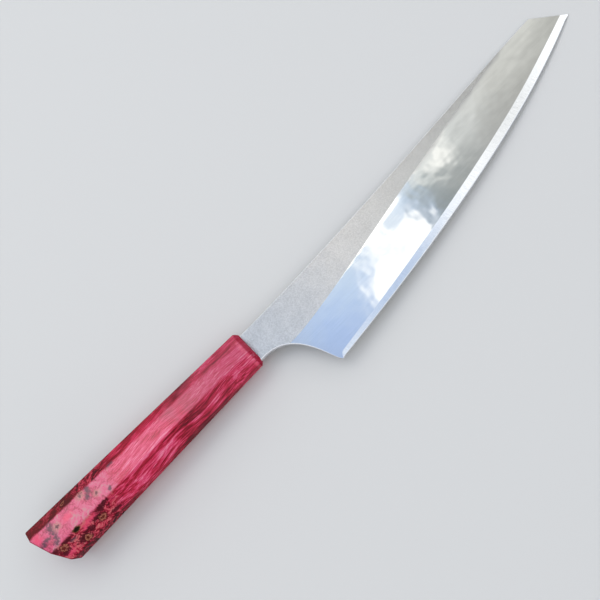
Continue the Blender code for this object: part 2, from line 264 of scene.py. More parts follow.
# %% Node helpers
class Wire:
    """An output socket that takes part in arithmetic."""

    def __init__(self, nodes, socket):
        self.nodes, self.socket = nodes, socket

    def math(self, operation, *others):
        return self.nodes.make("ShaderNodeMath", {"operation": operation}, dict(enumerate(others)))

    def __add__(self, other): return self.math('ADD', self, other)
    def __radd__(self, other): return self.math('ADD', other, self)
    def __sub__(self, other): return self.math('SUBTRACT', self, other)
    def __rsub__(self, other): return self.math('SUBTRACT', other, self)
    def __mul__(self, other): return self.math('MULTIPLY', self, other)
    def __rmul__(self, other): return self.math('MULTIPLY', other, self)
    def __truediv__(self, other): return self.math('DIVIDE', self, other)
    def __rtruediv__(self, other): return self.math('DIVIDE', other, self)
    def __pow__(self, other): return self.math('POWER', self, other)


class Nodes:
    """A node tree being filled."""

    def __init__(self, tree):
        self.tree = tree
        tree.nodes.clear()

    def make(self, kind, settings=None, sockets=None, out=0):
        """Add a node: settings first, then values or links for its sockets."""
        node = self.tree.nodes.new(kind)
        for name, value in (settings or {}).items():
            if name == "stops":
                self.fill_ramp(node.color_ramp, value)
            else:
                setattr(node, name, value)
        for name, value in (sockets or {}).items():
            if isinstance(value, Wire):
                self.tree.links.new(value.socket, node.inputs[name])
            else:
                node.inputs[name].default_value = value
        return Wire(self, node.outputs[out]) if len(node.outputs) else node

    def fill_ramp(self, ramp, stops):
        while len(ramp.elements) < len(stops):
            ramp.elements.new(0.5)
        for element, (place, colour) in zip(ramp.elements, stops):
            element.position = place
            element.color = (*colour, 1.0)

    def ramp(self, value, *stops):
        return self.make("ShaderNodeValToRGB", {"stops": stops}, {0: value})

    def step(self, value, low, high):
        """Smooth step from 0 at low to 1 at high."""
        return self.make("ShaderNodeMapRange", {"interpolation_type": 'SMOOTHSTEP'},
                         {"Value": value, "From Min": low, "From Max": high})

    def mix(self, share, first, second, blend='MIX'):
        pair = [c if isinstance(c, Wire) else (*c, 1.0) for c in (first, second)]
        return self.make("ShaderNodeMix", {"data_type": 'RGBA', "blend_type": blend},
                         {0: share, 6: pair[0], 7: pair[1]}, out=2)

    def vector(self, operation, first, second):
        return self.make("ShaderNodeVectorMath", {"operation": operation}, {0: first, 1: second})

    def noise(self, place, scale, detail=2.0, roughness=0.5, distortion=0.0):
        return self.make("ShaderNodeTexNoise", {}, {
            "Vector": place, "Scale": scale, "Detail": detail,
            "Roughness": roughness, "Distortion": distortion})

    def size(self, value):
        return self.make("ShaderNodeMath", {"operation": 'ABSOLUTE'}, {0: value})

    def at_least(self, value, low):
        return self.make("ShaderNodeMath", {"operation": 'MAXIMUM'}, {0: value, 1: low})

    def grey(self, value):
        return self.make("ShaderNodeCombineColor", {}, {0: value, 1: value, 2: value})

    def axis(self, place, index):
        return self.make("ShaderNodeSeparateXYZ", {}, {0: place}, out=index)

    def place_mm(self):
        """Millimetres in the knife's own frame, from Object coordinates."""
        place = self.make("ShaderNodeTexCoord", out=3)
        moved = self.vector('SUBTRACT', place, tuple(ZERO * MM))
        return self.vector('MULTIPLY', moved, (1 / MM,) * 3)

    def away(self, place, middle, radii):
        """Distance from a spot's middle, as a share of its radii: 1 on the spot's rim."""
        scaled = self.vector('MULTIPLY', place, tuple(1 / r for r in radii))
        centre = tuple(m / r for m, r in zip(middle, radii))
        return self.make("ShaderNodeVectorMath", {"operation": 'DISTANCE'},
                         {0: scaled, 1: centre}, out=1)

    def near(self, place, spot, wobble, soft=0.45):
        """1 in the middle of a ragged patch, 0 outside it."""
        return self.step(self.away(place, *spot) + wobble, 1.0 + soft, 1.0 - soft)

    def bump(self, height, strength, distance):
        return self.make("ShaderNodeBump", {}, {
            "Height": height, "Strength": strength, "Distance": distance})

    def finish(self, sockets):
        shader = self.make("ShaderNodeBsdfPrincipled", {}, sockets)
        self.make("ShaderNodeOutputMaterial", {}, {"Surface": shader})


def new_material(name):
    material = bpy.data.materials.new(name)
    material.use_nodes = True
    return material, Nodes(material.node_tree)


# %% [markdown]
# ## Steel in four finishes
#
# The flat above the grind line was left with an even, slightly mottled satin. The main bevel
# is polished until it mirrors the sky. The cutting bevel shows fine lines straight across
# the edge. Spine, choil and clip are eased by hand on a fine belt. What looks like light and
# dark along the bevels is the sky; the flat's slight change of tone along its length is
# partly painted reflection.

# %% Steel materials
BLADE_SPAN = 230.0          # length over which the flat's tone is given
GRIND_LEAN = math.radians(-13)      # lines of the cutting bevel, turned with the edge


def satin_flat():
    """Satin: wormy mottle from folded noise, over cloudy patches and a change of tone along the length
    that is partly painted reflection.
    """
    material, n = new_material("satin flat")
    place = n.place_mm()
    x = n.axis(place, 0)
    worms = n.size(n.noise(place, 0.55, 3.0, 0.6) - 0.5)
    grain = n.noise(place, 1.5, 1.0, 0.5) - 0.5
    patch = n.noise(place, 0.13, 3.0, 0.6) - 0.5
    mottle = n.at_least(worms * -1.8 + grain * 0.9 + 0.14, -0.14)
    strength = 0.40 + 0.60 * n.step(x, 140, 70)
    shade = 1.0 + mottle * strength * 0.50 + patch * 0.20
    # The tone along the length is partly painted reflection: darker at the neck, palest about a quarter
    # of the way along, darker again towards the tip.
    tone = n.ramp((x + patch * 30) / BLADE_SPAN, (0.03, (0.49, 0.51, 0.53)), (0.17, (0.55, 0.555, 0.56)),
                  (0.28, (0.60, 0.59, 0.575)), (0.54, (0.56, 0.56, 0.55)), (0.87, (0.50, 0.50, 0.49)))
    tone = n.vector('MULTIPLY', tone, n.grey(shade))
    n.finish({"Base Color": tone, "Metallic": 1.0, "Roughness": 0.30 + mottle * 0.10,
              "Normal": n.bump(mottle, 0.30, 0.0003)})
    return material


def polished_bevel():
    """Polish: a near mirror with a slow ripple and faint lengthwise lines."""
    material, n = new_material("polished bevel")
    place = n.place_mm()
    ripple = n.noise(place, 0.07, 2.0)
    lines = n.noise(n.vector('MULTIPLY', place, (0.06, 2.4, 2.4)), 1.0, 3.0, 0.6)
    tone = n.vector('MULTIPLY', n.grey(0.70 + lines * 0.10), (0.99, 1.0, 1.0))
    n.finish({"Base Color": tone, "Metallic": 1.0, "Roughness": 0.045 + lines * 0.03,
              "Normal": n.bump(ripple, 0.15, 0.0006)})
    return material


def ground_edge():
    """Cross grind: noise drawn out across the edge, as a stone leaves it."""
    material, n = new_material("ground edge")
    place = n.place_mm()
    turned = n.make("ShaderNodeMapping", {}, {"Vector": place, "Rotation": (0, 0, GRIND_LEAN)})
    lines = n.noise(n.vector('MULTIPLY', turned, (4.0, 0.25, 0.25)), 1.0, 2.0, 0.7)
    tone = n.ramp(lines, (0.3, (0.72, 0.74, 0.77)), (0.7, (0.86, 0.88, 0.90)))
    n.finish({"Base Color": tone, "Metallic": 1.0, "Roughness": 0.11 + lines * 0.06,
              "Normal": n.bump(lines, 0.06, 0.0002)})
    return material


def eased_rim():
    """Fine belt finish that runs along the rim."""
    material, n = new_material("eased rim")
    lines = n.noise(n.place_mm(), 2.2, 2.0)
    n.finish({"Base Color": n.ramp(lines, (0.3, (0.70, 0.72, 0.75)), (0.7, (0.84, 0.85, 0.87))),
              "Metallic": 1.0, "Roughness": 0.20 + lines * 0.10})
    return material


# %% [markdown]
# ## The blade
#
# The outline is split into a lower line, from the neck along choil and edge to the tip, and
# an upper one, along spine and clip. Stations pair a point below with a point above, and
# the columns between them stand on the shoulder and the grind line, so that each finish
# meets the next on its ground line; the turn on the grind line itself is blended over a
# narrow strip. Where the rim is thick it is eased by a quarter round; at the edge the round
# shrinks to nothing.

# %% Blade surface
STUB_DEPTH = 9.0            # the neck's full section inside the handle
TANG_LENGTH = 95.0
TANG_HEIGHT = (12.0, 7.0)   # at its root and at its end
TANG_THICKNESS = 1.8
EASE = 0.45
ROUND_STEPS = 4
BEVEL_COLUMNS = 4
MAIN_COLUMNS = 14
FLAT_COLUMNS = 10
BLEND = 0.60                # half width of the softened strip on the grind line


def paired_outlines():
    """Lower and upper outline with as many points each, matched stretch by stretch."""
    lower = np.vstack([[(-STUB_DEPTH, -NECK_BOTTOM)], choil_line, edge_line[1:]])
    upper = np.vstack([[(-STUB_DEPTH, NECK_TOP)], spine_line, [tip]])
    marks = [  # lower point, upper point's x, stations to reach them; closest at heel and tip
        ((CHOIL_STRAIGHT, -NECK_BOTTOM), 2.0, 6),
        (heel, 36.0, 60),
        (edge_line[15], 43.0, 14),
        (edge_line[-52], corner[0], 150),
        (tip, tip[0], 26),
    ]
    return lower, upper, marks


def share_of(line, wanted):
    """Share of a polyline's length at its point nearest to the wanted one."""
    run = run_along(line)
    return run[np.argmin(((line - wanted) ** 2).sum(axis=1))] / run[-1]


def stations():
    """Both outlines resampled so that station i below belongs to station i above."""
    lower, upper, marks = paired_outlines()
    low_shares, high_shares = [np.zeros(1)], [np.zeros(1)]
    for low_point, high_x, count in marks:
        high_point = tip if high_x == tip[0] else (high_x, height_on(spine_line, np.array(high_x)))
        step = np.linspace(0.0, 1.0, count + 1)[1:]
        for shares, line, point in ((low_shares, lower, low_point), (high_shares, upper, high_point)):
            start = shares[-1][-1]
            shares.append(start + (share_of(line, np.array(point, float)) - start) * step)
    return resample(lower, np.concatenate(low_shares)), resample(upper, np.concatenate(high_shares))


def crossing(low, high, line_height):
    """Share of the way from low to high at which each station meets a line, by halving."""
    near, far = np.zeros(len(low)), np.ones(len(low))
    for _ in range(40):
        middle = (near + far) / 2
        point = low + (high - low) * middle[:, None]
        above = point[:, 1] > line_height(point[:, 0])
        near, far = np.where(above, near, middle), np.where(above, middle, far)
    return (near + far) / 2


def rounded(outer, inward, depth):
    """Quarter round from the rim wall up to the face: points in plan, and drop below it."""
    turn = np.linspace(0.0, math.pi / 2, ROUND_STEPS + 1)[:-1]
    share = (1 - np.cos(turn))[:, None, None]
    plan = outer + (inward - outer) * share
    drop = (1 - np.sin(turn))[:, None] * depth
    return plan, drop


def blade_points():
    """One side as columns from the lower rim to the upper one, then its mirror image."""
    low, high = stations()
    rim = [half_thickness(line[:, 0], line[:, 1]) for line in (low, high)]
    ease = [np.minimum(EASE, 0.6 * half) for half in rim]
    low_in, high_in = inset(low, ease[0]), inset(high, -ease[1])
    low_in[-1], high_in[-1] = low[-1], high[-1]
    shoulder = crossing(low_in, high_in, shoulder_height)
    under = crossing(low_in, high_in, lambda x: height_on(grind_line, x) - BLEND)
    over = crossing(low_in, high_in, lambda x: height_on(grind_line, x) + BLEND)
    shoulder = np.where(shoulder < 1e-3, 0.0, shoulder)
    under, over = np.maximum(shoulder, under), np.maximum(shoulder, over)
    steps = [np.linspace(0, 1, count + 1) for count in (BEVEL_COLUMNS, MAIN_COLUMNS, FLAT_COLUMNS)]
    shares = np.concatenate([
        shoulder * steps[0][:-1, None],
        shoulder + (under - shoulder) * steps[1][:, None],
        over + (1 - over) * steps[2][:, None]])
    plan = low_in + (high_in - low_in) * shares[:, :, None]
    face = half_thickness(plan[..., 0], plan[..., 1])
    low_plan, low_drop = rounded(low, low_in, ease[0])
    high_plan, high_drop = rounded(high, high_in, ease[1])
    low_half, high_half = (half_thickness(p[:, 0], p[:, 1]) for p in (low_in, high_in))
    plans = np.concatenate([low[None], low_plan, plan, high_plan[::-1], high[None]])
    halves = np.concatenate([np.zeros((1, len(low))), low_half - low_drop, face,
                             (high_half - high_drop)[::-1], np.zeros((1, len(high)))])
    side = np.concatenate([plans, np.maximum(halves, 0.0)[..., None]], axis=2)
    mirrored = side[-2:0:-1] * np.array([1, 1, -1])
    return np.concatenate([side, mirrored]).transpose(1, 0, 2)


def with_tang(grid):
    """The neck's first row, drawn down to the tang's root and on to its end."""
    middle = np.array([0.0, (NECK_TOP - NECK_BOTTOM) / 2, 0.0])
    across = (grid[0] - middle) * np.array([0, 1 / (NECK_TOP + NECK_BOTTOM), 1 / SPINE_THICKNESS])
    rows = [across * np.array([0, tall, TANG_THICKNESS]) + middle + np.array([x, 0, 0])
            for x, tall in zip((-STUB_DEPTH, -TANG_LENGTH), TANG_HEIGHT)]
    return np.concatenate([rows[::-1], grid])


RIM, EDGE, MAIN, FLAT = range(4)
blade_grid = with_tang(blade_points())
one_side = ([RIM] * (ROUND_STEPS + 1) + [EDGE] * BEVEL_COLUMNS + [MAIN] * (MAIN_COLUMNS + 1)
            + [FLAT] * FLAT_COLUMNS + [RIM] * (ROUND_STEPS + 1))
zones = np.tile(one_side + one_side[::-1], (len(blade_grid) - 1, 1))
blade = grid_piece("ground_blade", blade_grid, zones,
                   [eased_rim(), ground_edge(), polished_bevel(), satin_flat()])
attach(blade, "root")
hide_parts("blade")

# %% [markdown]
# ## Dyed burl
#
# The block is stabilised burl: wood soaked in red resin. Ahead of the swelling its grain
# runs straight, in sinuous streaks from wine red to pink; towards the butt it breaks into
# burl, with tan rings round dark eyes and grey-violet bark lines. The pattern is solid, so
# a streak that crosses an arris goes on down the next side.

# %% Where the burl's figures lie
# Each figure is an ellipsoid: its middle and its three radii, in mm.
EYES = [
    ((-127.3, -8.0, 9.2), (2.7, 2.2, 2.4)), ((-116.9, -11.3, 5.5), (2.4, 2.1, 2.2)),
    ((-105.2, -9.7, 6.6), (2.6, 2.0, 2.2)), ((-116.5, 9.4, 7.5), (1.6, 2.2, 2.2)),
    ((-112.0, -10.5, -6.0), (2.2, 2.2, 2.2)), ((-124.0, 3.0, -11.0), (2.4, 2.4, 2.4)),
    ((-101.0, 7.5, -8.5), (1.8, 1.8, 1.8)), ((-137.0, 4.0, 5.0), (2.2, 2.2, 2.2)),
]
PALE_EYES = [
    ((-123.4, 1.4, 11.3), (2.2, 2.0, 2.0)), ((-106.3, 4.4, 10.9), (2.6, 2.0, 2.0)),
    ((-99.1, -0.6, 10.7), (1.7, 1.6, 1.6)), ((-106.0, -2.0, -10.9), (2.0, 2.0, 2.0)),
]
BARK = [
    ((-126.2, 2.4, 11.3), (2.2, 3.4, 2.5)), ((-131.0, 0.1, 11.4), (3.0, 0.9, 2.0)),
    ((-134.6, -1.0, 11.5), (2.4, 0.9, 2.0)), ((-126.6, -2.4, 11.3), (0.9, 2.0, 2.0)),
    ((-127.6, -4.2, 11.3), (1.6, 1.3, 2.0)), ((-103.4, 1.5, 10.9), (1.2, 1.7, 2.0)),
    ((-101.9, 4.3, 10.8), (1.2, 2.0, 2.0)), ((-93.0, -3.5, 10.6), (0.9, 1.2, 2.0)),
    ((-86.5, 5.3, 10.2), (2.0, 0.8, 2.0)), ((-110.0, 0.0, -11.0), (4.0, 2.5, 3.0)),
    ((-96.0, -6.0, -9.5), (3.0, 2.0, 3.0)), ((-121.5, -8.0, 9.0), (2.0, 0.7, 0.9)),
]
WINE = [
    ((-107.5, -8.4, 8.0), (2.4, 1.1, 1.6)), ((-103.0, -7.0, 9.3), (2.3, 1.4, 1.8)),
    ((-101.0, -6.4, 9.9), (2.8, 1.0, 1.4)), ((-98.4, -6.0, 10.1), (1.8, 0.7, 1.2)),
    ((-131.0, -7.0, 10.6), (2.6, 1.6, 2.2)), ((-117.8, -10.6, 6.2), (4.0, 2.4, 3.0)),
    ((-124.0, -6.8, 10.2), (3.0, 0.9, 1.4)), ((-112.6, -9.6, 7.0), (1.6, 1.4, 2.0)),
    ((-128.0, -9.6, 7.4), (2.6, 1.2, 1.6)), ((-98.0, -11.0, 4.6), (4.0, 0.9, 1.4)),
]
ROSE = [
    ((-109.6, -7.2, 9.3), (4.8, 1.0, 1.5)), ((-127.0, -10.6, 6.4), (2.4, 1.5, 2.0)),
    ((-114.0, -8.3, 8.4), (1.6, 0.7, 1.0)), ((-116.6, 1.3, 11.2), (3.0, 1.6, 2.0)),
    ((-134.5, 3.5, 11.5), (2.2, 2.6, 2.0)),
]
VOID = ((-117.0, -6.2, 10.7), (1.65, 1.05, 1.2))

# %% [markdown]
# One field runs along the handle's length and decides where the straight grain turns to
# burl. Each of the two woods is a ramp that reads noise, drawn out in the one and folded in
# the other: the flat sides are clear and pale, and the slanting sides are darker, partly as
# painted shade, with the spine and belly sides darker still as painted shade. The figures
# named above are laid over it in turn. A pale painted sheen lies over the front part, a
# painted highlight runs just behind the front chamfer, and a darker and a paler stretch
# lie along the straight grain. Part of what sets the sides apart, and the haze and the
# stretches along them, may be light in the photograph; here it is in the wood.

# %% Burl material
FLAT_FLARE = 0.0176         # how fast the flat sides' borders spread towards the butt
HEIGHT_FLARE = 0.0221       # and how fast half the height grows
BUTT_LEAN = 0.4245          # the butt plane's slope, from its cut


def straight_grain(n, place, x, below, above, side, front):
    """Noise drawn out along the knife at three widths: bands, streaks and fibres."""
    drift = n.make("ShaderNodeTexNoise", {}, {"Vector": place, "Scale": 0.035, "Detail": 0.0}, out=1)
    grown = n.vector('ADD', place, n.vector('MULTIPLY', drift, (0.0, 6.0, 6.0)))
    bands = n.noise(n.vector('MULTIPLY', grown, (0.030, 0.42, 0.42)), 1.0, 2.0, 0.5) - 0.5
    streaks = n.noise(n.vector('MULTIPLY', grown, (0.090, 1.50, 1.50)), 1.0, 3.0, 0.6) - 0.5
    fibres = n.noise(n.vector('MULTIPLY', grown, (0.22, 3.6, 3.6)), 1.0, 2.0, 0.6) - 0.5
    clouds = n.noise(place, 0.075, 2.0, 0.5) - 0.5
    tone = 0.61 + front * 0.03 + bands * (0.6 + below * 0.5)
    tone = tone + streaks * (0.8 + below * 0.7 + above * 0.3)
    tone = tone + fibres * 0.75 + clouds * (0.25 + above * 1.0)
    # Painted shade: the slanting sides darker than the flats, less so near the front, and the spine and
    # belly sides darker still.
    tone = tone - below * (0.12 - front * 0.10) - above * (0.28 - front * 0.14) - side * 0.2
    dark_stretch = n.step(x, -58, -47) * n.step(x, -27, -40)
    pale_stretch = n.step(x, -92, -80) * n.step(x, -51, -62)
    tone = tone - dark_stretch * (0.08 + below * 0.09) + pale_stretch * (0.04 + above * 0.07)
    wood = n.ramp(tone, (0.10, (0.11, 0.005, 0.011)), (0.34, (0.34, 0.013, 0.030)),
                  (0.52, (0.60, 0.031, 0.085)), (0.70, (0.74, 0.088, 0.200)),
                  (0.90, (0.84, 0.26, 0.37)))
    # A painted sheen: a pale pink veil over the front part, strongest on the flats and weaker on the
    # slanting sides.
    painted_sheen = n.step(x + clouds * 60, -56, -38) * (0.44 - above * 0.1 - below * 0.3)
    return n.mix(painted_sheen, wood, (0.37, 0.085, 0.125)), fibres


def knotted_burl(n, place, x, outer, above, side):
    """Twice folded noise; a pale ramp for the flats and a dark one for the slanting sides, the dark one
    partly painted shade.
    """
    swirl = n.make("ShaderNodeTexNoise", {}, {"Vector": place, "Scale": 0.16, "Detail": 2.0}, out=1)
    folded = n.vector('ADD', place, n.vector('MULTIPLY', swirl, (12.0, 12.0, 12.0)))
    knots = n.noise(folded, 0.20, 3.0, 0.55, 0.6) - 0.5
    curls = n.noise(folded, 0.75, 3.0, 0.6, 0.4) - 0.5
    stirred = n.vector('ADD', place, n.vector('MULTIPLY', swirl, (4.0, 4.0, 4.0)))
    rings = n.make("ShaderNodeTexVoronoi", {}, {"Vector": stirred, "Scale": 0.34})
    pips = (n.step(rings, 0.40, 0.26) * 0.30 - n.step(rings, 0.24, 0.10)) * n.step(knots, -0.06, 0.06)
    dark_back = above * n.step(x * -1, 103, 117)
    figure = 0.57 + knots * 1.4 + curls * (1.0 + outer * 0.3) + pips * (0.18 + outer * 0.08)
    # Pushed darker on the upper slant, more so towards the butt, partly as painted shade, and on the
    # spine and belly sides as painted shade.
    figure = figure + outer * 0.04 - dark_back * 0.15 - above * 0.08 - side * 0.15
    clear = n.ramp(figure, (0.18, (0.25, 0.028, 0.055)), (0.38, (0.50, 0.062, 0.115)),
                   (0.54, (0.66, 0.088, 0.190)), (0.68, (0.67, 0.135, 0.238)),
                   (0.86, (0.56, 0.22, 0.245)))
    # The dark ramp for the slanting sides is partly painted shade.
    gnarled_and_shaded = n.ramp(figure, (0.22, (0.028, 0.004, 0.006)), (0.43, (0.115, 0.005, 0.011)),
                     (0.57, (0.36, 0.014, 0.038)), (0.71, (0.56, 0.055, 0.095)),
                     (0.90, (0.62, 0.16, 0.16)))
    gnarled_and_shaded = n.mix(dark_back * 0.45, gnarled_and_shaded, (0.170, 0.018, 0.018))
    return n.mix(outer, clear, gnarled_and_shaded), curls


def dyed_burl():
    """Grain, then burl towards the butt, then rose, wine, bark, eyes and one small hole."""
    material, n = new_material("dyed burl")
    place = n.place_mm()
    x, y = n.axis(place, 0), n.axis(place, 1)
    below = n.step(y * -1 + x * FLAT_FLARE, 2.9, 4.6)
    above = n.step(y + x * FLAT_FLARE, 3.0, 4.4)
    outer = below + above
    side = n.step(n.size(y) + x * HEIGHT_FLARE, 9.7, 10.4)
    front = n.step(x, -34, -6)
    butt = n.step(x * -1 - y * BUTT_LEAN, 134.9, 135.5)
    end = n.at_least(n.step(x, -2.3, -1.7), butt)
    wander = n.noise(place, 0.40, 4.0, 0.65) - 0.5
    ragged = n.noise(place, 0.95, 3.0, 0.6) - 0.5
    wood, fibres = straight_grain(n, place, x, below, above, side, front)
    burl, curls = knotted_burl(n, place, x, outer, above, side)
    turned = n.step(x * -1 + wander * 22 + below * -7, 84, 95)
    wood = n.mix(turned, wood, burl)
    fray = ragged * 2.2 + curls * 1.2
    for spot in ROSE:
        wood = n.mix(n.near(place, spot, fray * 0.9, 0.7) * 0.8, wood, (0.80, 0.075, 0.160))
    for spot in WINE:
        wood = n.mix(n.near(place, spot, fray) * 0.92, wood, (0.075, 0.004, 0.011))
    for spot in BARK:
        wood = n.mix(n.near(place, spot, fray * 1.2, 0.7) * 0.9, wood, (0.100, 0.036, 0.055))
    for spot in PALE_EYES:
        ringed = n.away(place, *spot) + fray * 0.8
        eye = n.ramp(ringed, (0.10, (0.075, 0.030, 0.030)), (0.34, (0.15, 0.060, 0.055)),
                     (0.55, (0.56, 0.25, 0.21)), (0.75, (0.46, 0.12, 0.15)), (0.95, (0.60, 0.23, 0.22)))
        wood = n.mix(n.step(ringed, 1.45, 0.65) * 0.8, wood, eye)
    broken = n.step(curls, 0.03, 0.11) * 0.8
    for spot in EYES:
        ringed = n.away(place, *spot) + fray * 0.6
        eye = n.ramp(ringed, (0.05, (0.055, 0.003, 0.003)), (0.20, (0.110, 0.014, 0.009)),
                     (0.38, (0.150, 0.035, 0.020)), (0.54, (0.50, 0.180, 0.115)),
                     (0.70, (0.19, 0.032, 0.025)), (0.84, (0.045, 0.006, 0.007)))
        eye = n.mix(broken, eye, (0.055, 0.008, 0.009))
        wood = n.mix(n.step(ringed, 1.30, 0.70) * 0.9, wood, eye)
    wood = n.mix(n.near(place, VOID, fray * 0.6 - 0.30, 0.25), wood, (0.20, 0.062, 0.030))
    # The hole is not cut into the block; its near-black inside is painted shade.
    hole = n.near(place, VOID, fray * 0.6, 0.3)
    wood = n.mix(hole, wood, (0.016, 0.010, 0.006))
    # A painted highlight: a pale band just behind the front chamfer, weaker on the upper slant.
    painted_front_highlight = n.step(x, -4.3, -3.3) * n.step(x, -2.1, -2.7) * (0.22 + ragged)
    wood = n.mix(painted_front_highlight * (1.0 - above * 0.7), wood, (0.84, 0.18, 0.25))
    # End grain on the front chamfer and the butt is darker: partly the end grain's deeper dye, partly
    # painted shade.
    wood = n.mix(end * 0.65, wood, (0.25, 0.006, 0.020))
    coat = n.at_least(1.0 - below * 0.80 - above * 0.88 - end * 0.8 - hole, 0.05)
    n.finish({"Base Color": wood, "Roughness": 0.36 + fibres * 0.1,
              "Coat Weight": coat, "Coat Roughness": 0.10, "Specular IOR Level": 0.0,
              "Normal": n.bump(fibres, 0.03, 0.0003)})
    return material


# %% [markdown]
# ## The handle
#
# An octagon that grows evenly from the blade to the butt: each of its eight arrises is a
# straight line in space, cut off at the back by the slanted butt. A ring is worked out from
# three sizes, its corners are turned by a small radius, and the ends turn in by insetting
# the ring while it moves outwards: a bulged chamfer at the front, a quarter round at the butt.

# %% Handle surface
HANDLE_LENGTH = 136.0
FRONT = np.array([21.0, 18.1, 6.9])      # height, thickness, slanting side's leg
BUTT = np.array([27.0, 23.0, 7.5])
SLANT = math.tan(math.radians(23.0))
FRONT_ROUND = 2.1
BUTT_ROUND = 1.7
ARRIS = 0.55
ARC_STEPS = 5
SIDE_STEPS = 4
LENGTH_STEPS = 60
ROUND_SHARE, CHAMFER_SHARE = 0.35, 0.65     # of the bulged chamfer
FACE_INSETS = (6.0, 8.0)    # innermost ring of the front face and of the butt
RING_GAP = 0.3              # from a rim's last ring to the next one on its face


def octagon_ring(sizes, depth):
    """Octagon inset by depth, as straight sides joined by arcs; columns start at the spine."""
    tall, wide = sizes[0] / 2 - depth, sizes[1] / 2 - depth
    leg = sizes[2] - depth * (2 - math.sqrt(2))
    corners = np.array([(tall, wide - leg), (tall - leg, wide), (leg - tall, wide),
                        (-tall, wide - leg), (-tall, leg - wide), (leg - tall, -wide),
                        (tall - leg, -wide), (tall, leg - wide)])
    radius = max(ARRIS - depth * 0.4, 0.12)
    reach = radius * math.tan(math.radians(22.5))
    back, ahead = np.roll(corners, 1, axis=0) - corners, np.roll(corners, -1, axis=0) - corners
    back /= np.sqrt((back ** 2).sum(axis=1))[:, None]
    ahead /= np.sqrt((ahead ** 2).sum(axis=1))[:, None]
    middle = back + ahead
    middle /= np.sqrt((middle ** 2).sum(axis=1))[:, None]
    centre = corners + middle * (radius / math.cos(math.radians(22.5)))
    start = corners + back * reach - centre
    turn = np.radians(np.linspace(0, 45, ARC_STEPS))[:, None, None]
    across = (corners + ahead * reach - centre - start * math.cos(math.pi / 4)) / math.sin(math.pi / 4)
    arcs = centre + start * np.cos(turn) + across * np.sin(turn)
    arcs = arcs.transpose(1, 0, 2)
    following = np.roll(arcs, -1, axis=0)[:, :1]
    share = (np.arange(1, SIDE_STEPS) / SIDE_STEPS)[None, :, None]
    sides = arcs[:, -1:] * (1 - share) + following * share
    return np.concatenate([arcs, sides], axis=1).reshape(-1, 2)


def ring_at(share, depth, forward):
    """Ring at a share of the way to the butt plane, inset by depth and shifted along X."""
    front = octagon_ring(FRONT, depth)
    slope = (octagon_ring(BUTT, depth) - front) / HANDLE_LENGTH
    reach = (HANDLE_LENGTH + front[:, 0] * SLANT) / (1 - slope[:, 0] * SLANT)
    run = reach * share
    plan = front + slope * run[:, None]
    return np.column_stack([-run + forward, plan])


def handle_points():
    """Rings from the front face, over a bulged chamfer, to the butt and its quarter round."""
    turn = np.linspace(0.0, math.pi / 2, 7)
    rings = [ring_at(0.0, FACE_INSETS[0], 0.0), ring_at(0.0, FRONT_ROUND + RING_GAP, 0.0)]
    for a in turn:
        slide = a / (math.pi / 2)
        depth = ROUND_SHARE * (1 - math.sin(a)) + CHAMFER_SHARE * (1 - slide)
        forward = ROUND_SHARE * (math.cos(a) - 1) - CHAMFER_SHARE * slide
        rings.append(ring_at(0.0, FRONT_ROUND * depth, FRONT_ROUND * forward))
    rings.append(ring_at(0.0015, 0.0, -FRONT_ROUND))
    back = (FRONT_ROUND + BUTT_ROUND) / HANDLE_LENGTH
    rings += [ring_at(share, 0.0, -FRONT_ROUND * (1 - share / (1 - back)))
              for share in np.linspace(0.0, 1.0, LENGTH_STEPS)[1:-1] * (1 - back)]
    rings += [ring_at(1.0, BUTT_ROUND * (1 - math.cos(a)), BUTT_ROUND * (1 - math.sin(a)))
              for a in turn]
    rings += [ring_at(1.0, BUTT_ROUND + RING_GAP, 0.0), ring_at(1.0, FACE_INSETS[1], 0.0)]
    return np.array(rings)


handle_grid = handle_points()
outside = np.zeros((handle_grid.shape[0] - 1, handle_grid.shape[1]), int)
burl_wood = dyed_burl()
handle = grid_piece("burl_handle", handle_grid, outside, [burl_wood, burl_wood])

# %% [markdown]
# ## Mouth and mortise
#
# The maker drills and files the block so that the neck enters a close mouth and the tang a
# roomier mortise. One bar in two heights is worked out from the blade's own sizes and taken
# out of the block with a Boolean.

# %% Mouth and mortise
MOUTH_ROOM = 0.3            # round the neck, on each side
MORTISE_ROOM = 2.2          # past the tang, above and below
MORTISE_END = 102.0
OVERRUN = 3.0               # how far the cutter stands out of the front face


def mortise_points():
    """Four rectangles along X: the mortise's end and front, then the mouth's back and front."""
    slope = (TANG_HEIGHT[0] - TANG_HEIGHT[1]) / (TANG_LENGTH - STUB_DEPTH)
    end = TANG_HEIGHT[1] - (MORTISE_END - TANG_LENGTH) * slope + 2 * MORTISE_ROOM
    front = TANG_HEIGHT[0] + 2 * MORTISE_ROOM
    mouth = NECK_TOP + NECK_BOTTOM + 2 * MOUTH_ROOM
    back = -STUB_DEPTH - MOUTH_ROOM
    tall = np.array([end, front, mouth, mouth])[:, None] / 2
    wide = SPINE_THICKNESS / 2 + MOUTH_ROOM
    run = np.array([-MORTISE_END, back, back, OVERRUN])[:, None] + np.zeros(4)
    y = (NECK_TOP - NECK_BOTTOM) / 2 + tall * np.array([1, -1, -1, 1])
    z = wide * np.array([1, 1, -1, -1]) + np.zeros((4, 1))
    return np.stack([run, y, z], axis=-1)


